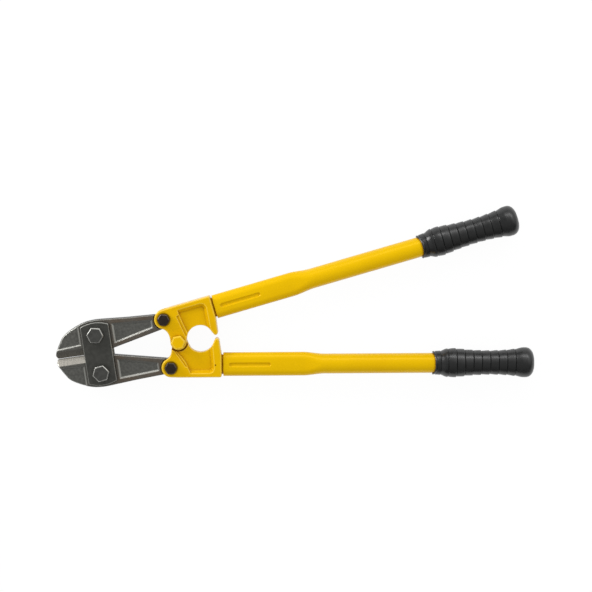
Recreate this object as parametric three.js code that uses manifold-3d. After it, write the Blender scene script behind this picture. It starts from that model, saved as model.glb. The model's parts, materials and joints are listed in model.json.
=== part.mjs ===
// Bolt cutters, 600 mm size, lying flat with their handles together. Millimetres, +Z up.
// The tool's long axis is X: the jaws point to -X, the grips to +X. Z = 0 is what the tool lies on.
// Each jaw turns on a bolt between two link plates. Its tail is held in the fork of a handle head,
// and the two handle heads, which are one casting used twice, turn on the centre bolt.

import * as THREE from "three";
import { mergeVertices } from "three/addons/utils/BufferGeometryUtils.js";
import Module from "manifold-3d";

const wasm = await Module();
wasm.setup();

// ---- Driving dimensions -------------------------------------------------------------------

const MIDDLE_Z = 22; // height of the tool's middle plane
const CENTRE_BOLT_X = -144.3; // the centre bolt, from the middle of the tool's length
const HANDLE_ANGLE = THREE.MathUtils.degToRad(8); // each handle to the long axis

// Pivots of the upper half, from the centre bolt.
const JAW_PIVOT = new THREE.Vector2(-100.5, 24);
const TAIL_PIVOT = new THREE.Vector2(-13.8, 30.6);

const JAW_HALF = 6.5; // half the thickness of the jaw forging
const TAIL_HALF = 5; // half the thickness of its tail, inside the fork
const PLATE_GAP = 0.3; // running gap between a jaw and a link plate
const PLATE_THICK = 5;
const HEAD_HALF = 10.5; // half the thickness of the handle casting
const FORK_HALF = 5.3; // half the width of its fork slot
const LAP_GAP = 0.2; // each lug stops this short of the middle plane
const SEAT = 0.1; // gap between a fastener and what it bears on

// Each bolt: shank radius, width across flats, height of head, washer and nut, and how far the
// shank's end lies below the middle plane.
const JAW_BOLT = { radius: 6, flats: 19, head: 7.5, washer: 2.2, nut: 6, end: MIDDLE_Z };
const TAIL_BOLT = { radius: 5, flats: 14, head: 6, washer: 2.2, nut: 5.6, end: 20.3 };
const CENTRE_BOLT = { radius: 5, flats: 16, head: 6.5, washer: 2, nut: 5.6, end: 20.3 };
const BOLT_PLAY = 0.2; // radial gap of a bolt in its bores
const NUT_PLAY = 0.12; // and in its nut
const LOOSE_BORE = 7.1; // bore of the lower lug, where the linkage is left open

const BOSS_RADIUS = 12; // casting around the tail bolt
const LUG_RADIUS = 10; // casting around the centre bolt
const LAP_RADIUS = 12; // clear space that each lug leaves for the other
const WINDOW_RADIUS = 16.9; // round window between the handle heads
const WINDOW_X = 27.7; // its centre, from the centre bolt
const HEAD_END = 53.6; // end of the casting along its handle
const HEAD_EDGE = 44.5; // outer edge of the casting
const POCKET_FLOOR = 5.5; // pocket floor above the middle plane
const POCKET_SLOPE = 4.2; // width of the pocket's sloping walls
const LEDGE = 8.6; // ledge between the pocket and the arm
const TANG = 22; // length of the casting's tang, which reaches into the tube

const TUBE_AXIS = 29; // offset of the tube from the centre bolt
const TUBE_RADIUS = 12.5;
const TUBE_WALL = 2;
const TUBE_START = 55.6;
const TUBE_END = 432;
const FLAT_WIDTH = 29.8; // section of the flattened end of the tube
const FLAT_THICK = 16.2;
const FLAT_END = 155; // the flattening fades out between these two
const ROUND_START = 182;
const GROOVE = [66, 112]; // ends of the groove pressed into each flat
const GROOVE_HALF = 1.2; // half the width of its floor

const GRIP_LENGTH = 127.5;
const GRIP_BORE = 117; // depth of the grip's blind bore
const RING_PITCH = 10.5; // moulded rings on the grip
const RING_DEPTH = 0.9;

// ---- Finishes -----------------------------------------------------------------------------

const finish = (color, roughness, metalness) =>
  new THREE.MeshStandardMaterial({ color, roughness, metalness });

const FORGED_STEEL = finish("#4b4c48", 0.5, 0.8);
const YELLOW_ENAMEL = finish("#e3b505", 0.35, 0);
const BLACK_STEEL = finish("#1d1c1c", 0.4, 0.8);
const BLACK_RUBBER = finish("#262626", 0.6, 0);

// ---- Tools --------------------------------------------------------------------------------

const ROUND = 24; // facets in one turn of a bolt or a bore
const THROUGH = 20; // half the length of a cutter that goes right through a piece

function solid(geometry) {
  geometry.deleteAttribute("normal");
  geometry.deleteAttribute("uv");
  const merged = mergeVertices(geometry, 1e-4);
  const mesh = new wasm.Mesh({
    numProp: 3,
    vertProperties: merged.attributes.position.array,
    triVerts: new Uint32Array(merged.index.array),
  });
  return new wasm.Manifold(mesh);
}

function geometryOf(manifold) {
  const { vertProperties, triVerts } = manifold.getMesh();
  const geometry = new THREE.BufferGeometry();
  geometry.setAttribute("position", new THREE.BufferAttribute(vertProperties, 3));
  geometry.setIndex(new THREE.BufferAttribute(triVerts, 1));
  geometry.computeVertexNormals();
  return geometry;
}

// An outline extruded from one height to another, its long edges cut back by the chamfer.
// Where a line meets an arc, the two ends fall on one point, and only one of them is kept.
function slab(shape, low, high, chamfer = 0, curveSegments = 5) {
  const points = shape.getPoints(curveSegments);
  const kept = points.filter((p, i) => p.distanceTo(points[(i + 1) % points.length]) > 1e-3);
  const geometry = new THREE.ExtrudeGeometry(new THREE.Shape(kept), {
    depth: high - low - 2 * chamfer,
    bevelEnabled: chamfer > 0,
    bevelThickness: chamfer,
    bevelSize: chamfer,
    bevelOffset: -chamfer,
    bevelSegments: 1,
  });
  geometry.translate(0, 0, low + chamfer);
  return solid(geometry);
}

function cylinder(radius, low, high, [x, y] = [0, 0], segments = ROUND) {
  const geometry = new THREE.CylinderGeometry(radius, radius, high - low, segments);
  geometry.rotateX(Math.PI / 2);
  geometry.translate(x, y, (low + high) / 2);
  return solid(geometry);
}

// A cutter for a recess with sloping walls: the outline is its floor, and it opens upwards.
function recess(points, floor, face, slope) {
  const rise = face - floor;
  const geometry = new THREE.ExtrudeGeometry(outline(points), {
    depth: 5,
    bevelThickness: rise,
    bevelSize: slope,
    bevelSegments: 1,
    curveSegments: 4,
  });
  geometry.translate(0, 0, floor + rise);
  return solid(geometry);
}

const outline = (points) => new THREE.Shape(points.map(([x, y]) => new THREE.Vector2(x, y)));

// The same cut on the other face.
const turnedOver = (manifold) => manifold.mirror([0, 0, 1]);

// A lathe about Z from [radius, height] points that start and end on the axis.
function lathe(points, segments = ROUND) {
  const profile = points.map(([r, z]) => new THREE.Vector2(r, z));
  const geometry = new THREE.LatheGeometry(profile, segments);
  geometry.rotateX(Math.PI / 2);
  return solid(geometry);
}

// ---- Jaw ----------------------------------------------------------------------------------

const NOSE_X = -154.1;
const BLADE_START = [-151.8, 0.4]; // tip end of the cutting edge
const HEEL = [JAW_PIVOT.x, 0.2]; // where the jaws' inner edges part
const BLADE_WIDTH = 9.1; // width of the ground bevel
const EDGE_HALF = 0.25; // half the flat along the cutting edge
const TAIL_INNER = [-18, 18.7]; // rear end of the tail's inner edge
const PANEL_FLOOR = 5.3; // face of the beak, below the ridge beside the bevel
const BEAK_CHAMFER = 1.3; // along the beak's outer edge
const WEB_FLOOR = 4.9; // floor of the recess in the tail

function jawOutline() {
  const shape = new THREE.Shape();
  shape.moveTo(...HEEL);
  shape.lineTo(...TAIL_INNER);
  shape.quadraticCurveTo(-12, 20, TAIL_PIVOT.x + 7, TAIL_PIVOT.y - 7.2);
  shape.absarc(TAIL_PIVOT.x, TAIL_PIVOT.y, 10, -Math.PI / 4, (3 * Math.PI) / 4);
  shape.lineTo(-30, 38);
  shape.lineTo(-60, 39.4);
  const outer = [
    [-80, 40.9],
    [-103, 42],
    [-120.5, 38.6],
    [-139.2, 29.2],
    [-147.3, 19.2],
    [-152.2, 10],
    [NOSE_X, 5],
  ];
  shape.splineThru(outer.map(([x, y]) => new THREE.Vector2(x, y)));
  shape.quadraticCurveTo(NOSE_X + 0.3, 1.2, ...BLADE_START);
  shape.closePath();
  return shape;
}

// The wedge that grinding takes off one side of the blade, along X.
function blade() {
  const slope = (JAW_HALF - EDGE_HALF) / BLADE_WIDTH;
  const over = 3;
  const section = outline([
    [HEEL[1] - over, EDGE_HALF - over * slope],
    [HEEL[1] + BLADE_WIDTH + over, JAW_HALF + over * slope],
    [HEEL[1] - over, JAW_HALF + over * slope],
  ]);
  const geometry = new THREE.ExtrudeGeometry(section, { depth: 50, bevelEnabled: false });
  const across = new THREE.Vector3(0, 1, 0);
  const up = new THREE.Vector3(0, 0, 1);
  const along = new THREE.Vector3(1, 0, 0);
  geometry.applyMatrix4(new THREE.Matrix4().makeBasis(across, up, along));
  geometry.translate(-163, 0, 0);
  return solid(geometry);
}

function jaw() {
  const beak = [
    [-122.7, 14.6],
    [-122.7, 46],
    [-166, 46],
    [-166, 11.2],
  ];
  const beakFace = slab(jawOutline(), -PANEL_FLOOR, PANEL_FLOOR, BEAK_CHAMFER, 10);
  const beakEdge = slab(outline(beak), PANEL_FLOOR - BEAK_CHAMFER, JAW_HALF).subtract(beakFace);
  const beakPanel = recess(beak, PANEL_FLOOR, JAW_HALF, 2).add(beakEdge);
  const tailPanel = recess(
    [
      [-77.2, 12.3],
      [-31, 23.5],
      [-31, 30.6],
      [-77.2, 33.2],
    ],
    WEB_FLOOR,
    JAW_HALF,
    2.4,
  );
  const tailSeat = cylinder(BOSS_RADIUS + 1.2, TAIL_HALF, JAW_HALF + 2, TAIL_PIVOT, 48);
  const upper = blade().add(beakPanel).add(tailPanel).add(tailSeat);
  return slab(jawOutline(), -JAW_HALF, JAW_HALF, 0.7, 10)
    .subtract(upper)
    .subtract(turnedOver(upper))
    .subtract(cylinder(JAW_BOLT.radius + BOLT_PLAY, -THROUGH, THROUGH, JAW_PIVOT))
    .subtract(cylinder(TAIL_BOLT.radius + BOLT_PLAY, -THROUGH, THROUGH, TAIL_PIVOT));
}

// ---- Link plate ---------------------------------------------------------------------------

const PLATE_HALF_WIDTH = 18;
const PLATE_SIDE = 36.2; // half the plate's height at its corners
const PLATE_BULGE = 43; // control height of the curved ends

function linkPlate() {
  const corner = 2;
  const shape = new THREE.Shape();
  const side = PLATE_HALF_WIDTH;
  shape.moveTo(side, -PLATE_SIDE + corner);
  shape.lineTo(side, PLATE_SIDE - corner);
  shape.quadraticCurveTo(side, PLATE_SIDE, side - corner, PLATE_SIDE + 0.5);
  shape.quadraticCurveTo(0, PLATE_BULGE, corner - side, PLATE_SIDE + 0.5);
  shape.quadraticCurveTo(-side, PLATE_SIDE, -side, PLATE_SIDE - corner);
  shape.lineTo(-side, corner - PLATE_SIDE);
  shape.quadraticCurveTo(-side, -PLATE_SIDE, corner - side, -PLATE_SIDE - 0.5);
  shape.quadraticCurveTo(0, -PLATE_BULGE, side - corner, -PLATE_SIDE - 0.5);
  shape.quadraticCurveTo(side, -PLATE_SIDE, side, corner - PLATE_SIDE);
  const bore = JAW_BOLT.radius + BOLT_PLAY;
  return slab(shape, 0, PLATE_THICK, 0.8)
    .subtract(cylinder(bore, -1, PLATE_THICK + 1, [0, JAW_PIVOT.y]))
    .subtract(cylinder(bore, -1, PLATE_THICK + 1, [0, -JAW_PIVOT.y]));
}

// ---- Handle head --------------------------------------------------------------------------
// In the handle's own axes: X along the tube, Y outwards, the centre bolt at the origin.

const BOSS = TAIL_PIVOT.clone().rotateAround(new THREE.Vector2(), -HANDLE_ANGLE);
const WINDOW = new THREE.Vector2(WINDOW_X, 0).rotateAround(new THREE.Vector2(), -HANDLE_ANGLE);
const FINGER = new THREE.Vector2(47.8, -1.5); // centre of the stop finger's round tip
const FINGER_RADIUS = 2.9;

const onCircle = (centre, radius, degrees) => {
  const turn = THREE.MathUtils.degToRad(degrees);
  return [centre.x + radius * Math.cos(turn), centre.y + radius * Math.sin(turn)];
};

function headOutline() {
  const rad = THREE.MathUtils.degToRad;
  const shape = new THREE.Shape();
  shape.moveTo(HEAD_END - 2.5, HEAD_EDGE);
  shape.lineTo(0, HEAD_EDGE);
  shape.lineTo(...onCircle(BOSS, BOSS_RADIUS, 96));
  shape.absarc(BOSS.x, BOSS.y, BOSS_RADIUS, rad(96), rad(240));
  shape.quadraticCurveTo(-9, 18.6, -8.8, 10);
  shape.quadraticCurveTo(-8.8, 5.5, ...onCircle({ x: 0, y: 0 }, LUG_RADIUS, 170));
  shape.absarc(0, 0, LUG_RADIUS, rad(170), rad(340));
  shape.lineTo(...onCircle(WINDOW, WINDOW_RADIUS, 160));
  shape.absarc(WINDOW.x, WINDOW.y, WINDOW_RADIUS, rad(160), rad(14), true);
  shape.lineTo(FINGER.x - FINGER_RADIUS, FINGER.y);
  shape.absarc(FINGER.x, FINGER.y, FINGER_RADIUS, rad(180), rad(352));
  shape.lineTo(HEAD_END, 17.5);
  shape.lineTo(HEAD_END, HEAD_EDGE - 2.5);
  shape.quadraticCurveTo(HEAD_END, HEAD_EDGE, HEAD_END - 2.5, HEAD_EDGE);
  return shape;
}

// The slot that the jaw's tail turns in, open to the side that the tail swings out on.
function forkSlot() {
  const radius = 11.9;
  const swing = onCircle(BOSS, radius, 36);
  const mouth = outline([
    [BOSS.x, BOSS.y - radius],
    swing,
    [swing[0] - 12, swing[1] + 16.5],
    [-45, 60],
    [-45, BOSS.y - radius],
  ]);
  return cylinder(radius, -FORK_HALF, FORK_HALF, BOSS, 40).add(slab(mouth, -FORK_HALF, FORK_HALF));
}

// A pocket with sloping walls on all sides but one, where the outline of the arm gives a steep one.
function pocket(floor, arm) {
  const reach = outline([...arm, [60, 50], [60, 0]]);
  return recess(floor, POCKET_FLOOR, HEAD_HALF, POCKET_SLOPE).intersect(slab(reach, 0, THROUGH));
}

// The outer face: the arm from boss to lug stands proud of a ledge and of the pocket floor.
function outerPocket() {
  const floor = [
    [5, -3],
    [38.5, -3],
    [41.9, 31.7],
    [41, 33.8],
    [39, 34.7],
    [5, 34.7],
  ];
  const arm = [
    [15.8, 0],
    [13.3, 13.8],
    [11.9, 22.1],
    [10.8, 31.5],
    [9.8, 50],
  ];
  const ledge = outline([
    [11, 4],
    [17, 4],
    [12, 32],
    [6.9, 32],
  ]);
  return pocket(floor, arm).add(slab(ledge, LEDGE, HEAD_HALF + 2));
}

// The inner face: cut to the middle plane around the lug, with a slanting step up to the arm.
function innerPocket() {
  const floor = [
    [-8, -3],
    [38, -3],
    [40.6, 32.5],
    [39.8, 34.5],
    [37.8, 35.3],
    [-8, 35.3],
  ];
  const arm = [
    [0, 0],
    [-2.2, 11.7],
    [1.1, 15.7],
    [8.9, 25.2],
    [13.9, 37],
    [15.5, 50],
  ];
  const ledge = outline([
    [-5, 10.6],
    [2, 10.6],
    [13, 31],
    [9, 31],
  ]);
  return pocket(floor, arm)
    .add(slab(ledge, LEDGE, HEAD_HALF + 2))
    .add(cylinder(LAP_RADIUS, -LAP_GAP, HEAD_HALF + 2, [0, 0], 48));
}

function handleHead(bore) {
  const tangSide = FLAT_WIDTH / 2 - TUBE_WALL - 0.7;
  const tangHalf = FLAT_THICK / 2 - TUBE_WALL - 0.6;
  const tang = outline([
    [HEAD_END - 5, TUBE_AXIS - tangSide],
    [HEAD_END + TANG, TUBE_AXIS - tangSide],
    [HEAD_END + TANG, TUBE_AXIS + tangSide],
    [HEAD_END - 5, TUBE_AXIS + tangSide],
  ]);
  return slab(headOutline(), -HEAD_HALF, HEAD_HALF, 1, 10)
    .subtract(forkSlot())
    .subtract(outerPocket())
    .subtract(turnedOver(innerPocket()))
    .add(slab(tang, -tangHalf, tangHalf, 3.4))
    .subtract(cylinder(bore, -THROUGH, THROUGH))
    .subtract(cylinder(TAIL_BOLT.radius + BOLT_PLAY, -THROUGH, THROUGH, BOSS));
}

// ---- Tube ---------------------------------------------------------------------------------

// A rod along X whose section goes from a racetrack to a circle, its wall cut back by inset.
function tubeRod(start, end, inset, overrun) {
  const stations = [start - overrun, FLAT_END];
  const steps = 4;
  for (let i = 1; i <= steps; i++) {
    stations.push(THREE.MathUtils.lerp(FLAT_END, ROUND_START, i / steps));
  }
  stations.push(end + overrun);
  const geometry = new THREE.CylinderGeometry(1, 1, stations.length - 1, 36, stations.length - 1);
  geometry.rotateZ(-Math.PI / 2);
  const position = geometry.attributes.position;
  for (let i = 0; i < position.count; i++) {
    const ring = Math.round(position.getX(i) + (stations.length - 1) / 2);
    const x = stations[ring];
    const roundness = THREE.MathUtils.smoothstep(x, FLAT_END, ROUND_START);
    const half = THREE.MathUtils.lerp(FLAT_THICK / 2, TUBE_RADIUS, roundness);
    const spread = THREE.MathUtils.lerp((FLAT_WIDTH - FLAT_THICK) / 2, 0, roundness);
    const across = position.getY(i);
    const outwards = Math.sign(Math.round(across * 1e6)); // moves the two half circles apart
    const y = across * (half - inset) + outwards * spread;
    position.setXYZ(i, x, y + TUBE_AXIS, position.getZ(i) * (half - inset));
  }
  return solid(geometry);
}

// The groove pressed into each flat, which clamps the tube to the tang.
function pressedGroove() {
  const shape = new THREE.Shape();
  shape.absarc(GROOVE[0], TUBE_AXIS, GROOVE_HALF, Math.PI / 2, (3 * Math.PI) / 2);
  shape.absarc(GROOVE[1], TUBE_AXIS, GROOVE_HALF, -Math.PI / 2, Math.PI / 2);
  shape.closePath();
  const geometry = new THREE.ExtrudeGeometry(shape, {
    depth: 3,
    bevelThickness: 1.2,
    bevelSize: 1.4,
    bevelSegments: 1,
    curveSegments: 5,
  });
  geometry.translate(0, 0, FLAT_THICK / 2);
  return solid(geometry);
}

function tube() {
  return tubeRod(TUBE_START, TUBE_END, 0, 0)
    .subtract(tubeRod(TUBE_START, TUBE_END, TUBE_WALL, 2))
    .subtract(pressedGroove())
    .subtract(turnedOver(pressedGroove()));
}

// ---- Grip ---------------------------------------------------------------------------------

// Radius of the grip's body along it, from the lip at its mouth to the flare at its end.
const GRIP_CURVE = [
  [10, 15.2],
  [17, 17.6],
  [25, 18.4],
  [35, 17.7],
  [44, 16.6],
  [56, 15.8],
  [68, 15.3],
  [80, 15.4],
  [92, 16],
  [104, 17.2],
  [113, 18.8],
];

function gripRadius(along) {
  const next = GRIP_CURVE.findIndex(([x]) => x >= along);
  const [x0, r0] = GRIP_CURVE[Math.max(next - 1, 0)];
  const [x1, r1] = GRIP_CURVE[next];
  return x1 === x0 ? r1 : THREE.MathUtils.mapLinear(along, x0, x1, r0, r1);
}

function grip(start) {
  const bore = TUBE_RADIUS + 0.15;
  const profile = [
    [0, GRIP_BORE],
    [bore, GRIP_BORE],
    [bore, 0],
    [14.2, 0],
    [14.6, 1.5],
    [14, 3],
    [14.6, 9],
  ];
  for (let ring = 10; ring + RING_PITCH < 113; ring += RING_PITCH) {
    const crest = ring + RING_PITCH - 1.4;
    profile.push([gripRadius(ring) - RING_DEPTH, ring]);
    profile.push([gripRadius(crest), crest]);
  }
  profile.push([18.9, 114.5], [18, 118.5], [16.4, 122.5], [13, 126], [7.5, GRIP_LENGTH]);
  profile.push([0, GRIP_LENGTH]);
  return lathe(profile, 28).rotate([0, 90, 0]).translate([start, TUBE_AXIS, 0]);
}

// ---- Fasteners ----------------------------------------------------------------------------

// A hexagonal prism with one corner towards +X and its ends turned down to a cone.
function hexagon(flats, low, high, chamferLow, chamferHigh) {
  const corner = flats / Math.sqrt(3);
  const prism = new THREE.CylinderGeometry(corner, corner, high - low, 6);
  prism.rotateX(Math.PI / 2);
  prism.rotateZ(Math.PI / 6);
  prism.translate(0, 0, (low + high) / 2);
  const face = flats * 0.48;
  const drop = (corner - face) * Math.tan(Math.PI / 6);
  const turned = lathe([
    [0, low],
    [chamferLow ? face : corner, low],
    [corner, low + (chamferLow ? drop : 0.01)],
    [corner, high - (chamferHigh ? drop : 0.01)],
    [chamferHigh ? face : corner, high],
    [0, high],
  ]);
  return solid(prism).intersect(turned);
}

// Head up, shank down to its chamfered end. Z is measured from the middle plane.
function bolt({ radius, flats, head, end }, seat) {
  const shank = lathe([
    [0, -end],
    [radius - 1, -end],
    [radius, 1 - end],
    [radius, seat + 1],
    [0, seat + 1],
  ]);
  return hexagon(flats, seat, seat + head, false, true).add(shank);
}

function nut({ radius, flats }, low, high) {
  return hexagon(flats, low, high, true, true).subtract(cylinder(radius + NUT_PLAY, low - 1, high + 1));
}

function ring(inner, outer, low, high) {
  return cylinder(outer, low, high).subtract(cylinder(inner, low - 1, high + 1));
}

function flatWasher(radius, low, high) {
  return ring(radius + 0.25, radius * 2, low, high);
}

function springWasher(radius, low, high) {
  const reach = radius * 3;
  const slit = outline([
    [0, -0.6],
    [reach, -1.4],
    [reach, 1],
    [0, 0.6],
  ]);
  return ring(radius + 0.25, radius * 1.72, low, high).subtract(slab(slit, low - 1, high + 1));
}

// ---- Assembly -----------------------------------------------------------------------------

const boltCutters = new THREE.Group();
const tool = new THREE.Group(); // the centre bolt at the origin, the middle plane at Z = 0
tool.position.set(CENTRE_BOLT_X, 0, MIDDLE_Z);
boltCutters.add(tool);

function put(group, name, manifold, material) {
  const mesh = new THREE.Mesh(geometryOf(manifold), material);
  mesh.name = name;
  group.add(mesh);
  return mesh;
}

// A bolt from above, on the axis through x and y, with its washer and nut below.
function fasten(name, spec, material, [x, y], face, turn, washer) {
  const seat = face + SEAT;
  const washerLow = -seat - spec.washer;
  const nutHigh = washerLow - SEAT;
  const pieces = {
    bolt: bolt(spec, seat),
    [washer === springWasher ? "spring_washer" : "washer"]: washer(spec.radius, washerLow, -seat),
    nut: nut(spec, nutHigh - spec.nut, nutHigh),
  };
  for (const [piece, manifold] of Object.entries(pieces)) {
    const mesh = put(tool, `${name}_${piece}`, manifold, material);
    mesh.position.set(x, y, 0);
    mesh.rotation.z = THREE.MathUtils.degToRad(turn);
  }
}

const PLATE_OUTER = JAW_HALF + PLATE_GAP + PLATE_THICK;
const plates = [
  ["front_link_plate", JAW_HALF + PLATE_GAP],
  ["back_link_plate", -PLATE_OUTER],
];
for (const [name, low] of plates) {
  put(tool, name, linkPlate(), FORGED_STEEL).position.set(JAW_PIVOT.x, 0, low);
}

// The lower half is the upper half turned over about the long axis, so it reuses every piece.
// Only the lug's bore, the place of the grip on its tube and the turn of the hexagons differ.
const snugBore = CENTRE_BOLT.radius + BOLT_PLAY;
const halves = [
  { side: "upper", turn: 0, sign: 1, bore: snugBore, gripStart: 321, hexes: [-11, -12] },
  { side: "lower", turn: Math.PI, sign: -1, bore: LOOSE_BORE, gripStart: 317, hexes: [7, -8] },
];
for (const { side, turn, sign, bore, gripStart, hexes } of halves) {
  const half = new THREE.Group();
  half.rotation.x = turn;
  tool.add(half);
  const handle = new THREE.Group();
  handle.rotation.z = HANDLE_ANGLE;
  half.add(handle);
  put(half, `${side}_jaw`, jaw(), FORGED_STEEL);
  put(handle, `${side}_handle_head`, handleHead(bore), YELLOW_ENAMEL);
  put(handle, `${side}_tube`, tube(), YELLOW_ENAMEL);
  put(handle, `${side}_grip`, grip(gripStart), BLACK_RUBBER);
  const jawAxis = [JAW_PIVOT.x, sign * JAW_PIVOT.y];
  const tailAxis = [TAIL_PIVOT.x, sign * TAIL_PIVOT.y];
  fasten(`${side}_jaw`, JAW_BOLT, FORGED_STEEL, jawAxis, PLATE_OUTER, hexes[0], springWasher);
  fasten(`${side}_tail`, TAIL_BOLT, BLACK_STEEL, tailAxis, HEAD_HALF, hexes[1], springWasher);
}
fasten("centre", CENTRE_BOLT, YELLOW_ENAMEL, [0, 0], HEAD_HALF, 2, flatWasher);

export default boltCutters;
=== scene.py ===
# %% [markdown]
# # Bolt cutters
# A pair of centre-cut bolt cutters, 600 mm long: two drop-forged jaws between link plates, two
# enamelled iron castings, two tubes and two rubber grips. The sizes, the pivots and everything
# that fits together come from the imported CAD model. This script adds what the eye sees: rounded
# edges, rolled and moulded shapes that CAD keeps plain, the finishes, and a small studio.

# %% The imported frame
import json
import math

import bmesh
import bpy
from mathutils import Matrix, Vector, noise


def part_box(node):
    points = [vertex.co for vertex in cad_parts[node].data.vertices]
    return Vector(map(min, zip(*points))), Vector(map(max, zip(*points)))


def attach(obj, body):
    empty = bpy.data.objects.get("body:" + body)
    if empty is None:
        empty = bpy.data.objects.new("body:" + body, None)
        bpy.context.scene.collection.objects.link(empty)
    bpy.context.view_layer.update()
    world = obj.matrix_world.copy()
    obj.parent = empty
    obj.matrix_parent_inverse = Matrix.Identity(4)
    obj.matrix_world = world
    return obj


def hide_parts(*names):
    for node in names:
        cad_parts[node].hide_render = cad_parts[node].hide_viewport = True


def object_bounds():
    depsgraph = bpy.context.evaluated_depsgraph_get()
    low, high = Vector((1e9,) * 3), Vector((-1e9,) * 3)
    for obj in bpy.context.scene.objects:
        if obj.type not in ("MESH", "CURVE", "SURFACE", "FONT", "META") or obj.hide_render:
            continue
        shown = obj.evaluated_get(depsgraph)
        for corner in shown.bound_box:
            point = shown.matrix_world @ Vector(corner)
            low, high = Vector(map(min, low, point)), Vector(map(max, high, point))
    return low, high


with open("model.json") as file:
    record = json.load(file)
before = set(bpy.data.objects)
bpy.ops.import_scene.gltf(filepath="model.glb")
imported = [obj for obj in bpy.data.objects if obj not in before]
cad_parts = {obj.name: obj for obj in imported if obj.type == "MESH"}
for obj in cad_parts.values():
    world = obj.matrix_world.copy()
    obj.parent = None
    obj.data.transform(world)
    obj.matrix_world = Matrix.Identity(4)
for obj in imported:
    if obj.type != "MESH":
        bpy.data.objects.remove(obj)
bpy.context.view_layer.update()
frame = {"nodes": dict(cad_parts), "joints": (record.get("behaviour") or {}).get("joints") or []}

scene = bpy.context.scene
nodes = frame["nodes"]

# %% [markdown]
# ## Where things are
# Blender works in metres and this tool is easier to think about in millimetres, so lengths are
# written in millimetres and turned to metres as they are used. The centre bolt is the tool's own
# reference point, and the jaws' pivots give the height of its middle plane. Each handle has its
# own axes: X along the tube, Y outwards. The lower handle is the upper one turned over about the
# long axis, so one rotation matrix gives it, and nothing is mirrored.

# %% Millimetres, the middle plane and the handles' axes
MM = 0.001
HANDLE_ANGLE = math.radians(8)  # each handle to the tool's long axis
TUBE_AXIS = 29  # offset of a tube from the centre bolt


def middle(node):
    """The middle of a CAD node's box."""
    low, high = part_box(node)
    return (low + high) / 2


middle_z = next(j["pos_m"][2] for j in frame["joints"] if j["name"] == "upper_jaw_pivot")
centre = Vector((middle("centre_bolt").x, middle("centre_bolt").y, middle_z))
to_handle = Matrix.Rotation(HANDLE_ANGLE, 4, "Z")
turned_over = Matrix.Rotation(math.pi, 4, "X")
tube_place = Matrix.Translation((0, TUBE_AXIS * MM, 0))
handle_axes = {
    "upper": Matrix.Translation(centre) @ to_handle @ tube_place,
    "lower": Matrix.Translation(centre) @ turned_over @ to_handle @ tube_place,
}
print("centre bolt at", [round(v / MM, 1) for v in centre], "mm")

# %% [markdown]
# ## Skinning rings
# Tubes, grips, bolts, nuts and washers are all a section that changes along an axis. A screw or
# solidify modifier could make some of them, but not a hexagon that runs into a thread, or a tube
# that goes from flat to round. So one function skins a mesh over a list of rings of points. Its
# ends are capped, or joined to each other when the rings go out along the outside and come back
# through a bore. Edges sharper than the given angle stay crisp, and the rest is shaded smooth.

# %% A mesh over rings
SHARP_EDGE = 40  # degrees


def skin(name, rings, joined=False):
    """A piece skinned over rings of points in mm."""
    made = bmesh.new()
    loops = [[made.verts.new(Vector(point) * MM) for point in ring] for ring in rings]
    pairs = list(zip(loops, loops[1:]))
    if joined:
        pairs.append((loops[-1], loops[0]))
    else:
        made.faces.new(loops[0])
        made.faces.new(loops[-1])
    for first, second in pairs:
        for i, corner in enumerate(first):
            made.faces.new((first[i - 1], corner, second[i], second[i - 1]))
    bmesh.ops.recalc_face_normals(made, faces=made.faces)
    for face in made.faces:
        face.smooth = True
    for edge in made.edges:
        edge.smooth = edge.calc_face_angle(0) < math.radians(SHARP_EDGE)
    mesh = bpy.data.meshes.new(name)
    made.to_mesh(mesh)
    made.free()
    piece = bpy.data.objects.new(name, mesh)
    scene.collection.objects.link(piece)
    return piece


def blend(low, high, value):
    """0 below low, 1 above high, and a smooth step between."""
    t = min(max((value - low) / (high - low), 0), 1)
    return t * t * (3 - 2 * t)


def between(first, second, share):
    return first + (second - first) * share


# %% [markdown]
# ## Handle tubes
# Each handle is a 25 mm steel tube. Its front end is squeezed flat over the casting's tang, and a
# groove is then pressed into each flat, which clamps it. A cylinder can't become a racetrack, so
# each ring is a racetrack whose straight sides shrink to nothing where the tube turns round. The
# points are spread evenly along the section, so that they don't bunch where it changes. The groove
# is a soft dent with rounded ends, deeper outside than inside, as the tang holds the wall up. The
# flats keep a slight dome from the round tube, which bends the light on them a little.

# %% The tube
TUBE_RADIUS = 12.5
TUBE_WALL = 2
TUBE_START = 55.6
TUBE_END = 432
FLAT_WIDTH = 29.8  # of the squeezed section
FLAT_THICK = 16.2
FLAT_END = 155  # the section turns round between these two
ROUND_START = 182
GROOVE_START = 65.5  # straight part of the groove
GROOVE_END = 112.5
GROOVE_DEPTH = 1.6
GROOVE_HALF = (1.3, 2.9)  # half widths of the groove's floor and of its opening
INNER_DENT = 0.4  # what the groove leaves on the inside of the wall
DOME = 0.2  # how far the flats fall off towards their sides, as a share of the thickness
TUBE_EDGE = [(0, 0.4), (0.12, 0.12), (0.4, 0)]  # place and inset of the rings round the front edge
TUBE_POINTS = 132


def racetrack(share, half, spread):
    """A point at a share of the way round two half circles joined by straight lines."""
    quarter = math.pi / 2 * half
    flat = 2 * spread
    s = share * (4 * quarter + 2 * flat)
    if s < quarter:
        turn, shift = s / half, spread
    elif s < quarter + flat:
        turn, shift = math.pi / 2, spread - (s - quarter)
    elif s < 3 * quarter + flat:
        turn, shift = (s - flat) / half, -spread
    elif s < 3 * quarter + 2 * flat:
        turn, shift = 3 * math.pi / 2, s - 3 * quarter - flat - spread
    else:
        turn, shift = (s - 2 * flat) / half, spread
    return half * math.cos(turn) + shift, half * math.sin(turn)


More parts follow.
